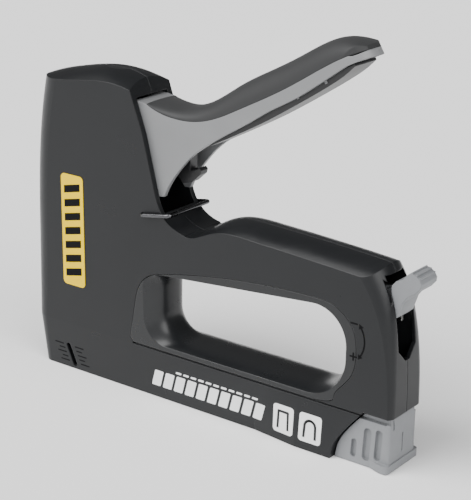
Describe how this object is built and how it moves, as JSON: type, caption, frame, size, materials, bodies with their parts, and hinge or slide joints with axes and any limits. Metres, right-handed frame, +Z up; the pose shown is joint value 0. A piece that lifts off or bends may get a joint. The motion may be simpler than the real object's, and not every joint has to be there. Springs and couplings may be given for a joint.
{
  "type": "staple gun",
  "caption": "Hand staple gun with a cast body around a hand opening, a sprung squeeze handle, a wire handle lock, a power lever and a pull-out magazine cap.",
  "frame": {"origin": "middle of the whole tool's bounding box, on the base that rests on the work", "axes": "-X towards the nose that fires the staple, +Z up through the head, Y across the tool"},
  "size_m": [0.2192, 0.0322, 0.1881],
  "materials": {
    "body_paint": "satin charcoal paint over cast aluminium",
    "liner_paint": "satin charcoal moulding",
    "label_film": "yellow printed film",
    "zinc_steel": "zinc plated",
    "hardened_steel": "ground, lightly oiled",
    "rail_steel": "folded sheet",
    "staple_steel": "galvanised wire",
    "spring_steel": "drawn wire, oiled",
    "wire_steel": "blackened wire",
    "pusher_plastic": "black moulding",
    "black_plastic": "black moulding",
    "cap_plastic": "light grey moulding",
    "lever_plastic": "light grey moulding",
    "handle_plastic": "light grey satin",
    "grip_rubber": "soft moulded grip",
    "bumper_rubber": "black"
  },
  "bodies": {
    "body": {"left_shell": "body_paint", "right_shell": "body_paint", "opening_liner": "liner_paint", "side_label": "label_film", "body_screws": "zinc_steel", "handle_pivot_pin": "zinc_steel", "lever_pin": "zinc_steel", "nose_plate": "hardened_steel", "magazine_rail": "rail_steel", "staple_strip": "staple_steel", "spring_seat": "black_plastic", "striker_bumper": "bumper_rubber", "main_spring": "spring_steel"},
    "handle": {"handle_frame": "handle_plastic", "handle_insert": "black_plastic", "handle_grip": "grip_rubber", "lift_arm": "hardened_steel", "lift_roller": "hardened_steel", "latch_hook": "black_plastic", "return_spring": "spring_steel"},
    "striker": {"striker": "hardened_steel", "driver_blade": "hardened_steel"},
    "lock": {"lock_wire": "wire_steel"},
    "lever": {"power_lever": "lever_plastic"},
    "link": {"power_link": "rail_steel", "power_shuttle": "black_plastic"},
    "cap": {"end_cap": "cap_plastic", "pusher_rod": "zinc_steel"},
    "follower": {"pusher": "pusher_plastic", "pusher_spring": "spring_steel"}
  },
  "joints": [
    {"name": "handle_squeeze", "type": "hinge", "parent": "body", "child": "handle", "pos_m": [-0.05088, 0, 0.136], "axis": [0, 1, 0], "range_deg": [0, 26], "stiffness_Nm_per_rad": 1.2, "springref_deg": -17.19, "deforming": ["return_spring"]},
    {"name": "striker_lift", "type": "slide", "parent": "body", "child": "striker", "axis": [0, 0, 1], "range_m": [0, 0.0125], "deforming": ["main_spring"]},
    {"name": "lock_swing", "type": "hinge", "parent": "body", "child": "lock", "pos_m": [-0.03678, 0, 0.0916], "axis": [0, 1, 0], "range_deg": [-12, 0]},
    {"name": "power_select", "type": "hinge", "parent": "body", "child": "lever", "pos_m": [0.08812, 0, 0.074], "axis": [0, 1, 0], "range_deg": [0, 44]},
    {"name": "power_travel", "type": "slide", "parent": "body", "child": "link", "axis": [-1, 0, 0], "range_m": [0, 0.0035]},
    {"name": "cap_pull", "type": "slide", "parent": "body", "child": "cap", "axis": [1, 0, 0], "range_m": [0, 0.1]},
    {"name": "pusher_slide", "type": "slide", "parent": "cap", "child": "follower", "axis": [1, 0, 0], "range_m": [0, 0.055], "stiffness_N_per_m": 25, "springref_m": -0.06, "deforming": ["pusher_spring"]}
  ],
  "couplings": [
    {"joint": "striker_lift", "follows": "handle_squeeze", "m_per_rad": 0.027},
    {"joint": "power_travel", "follows": "power_select", "m_per_rad": 0.0044}
  ]
}
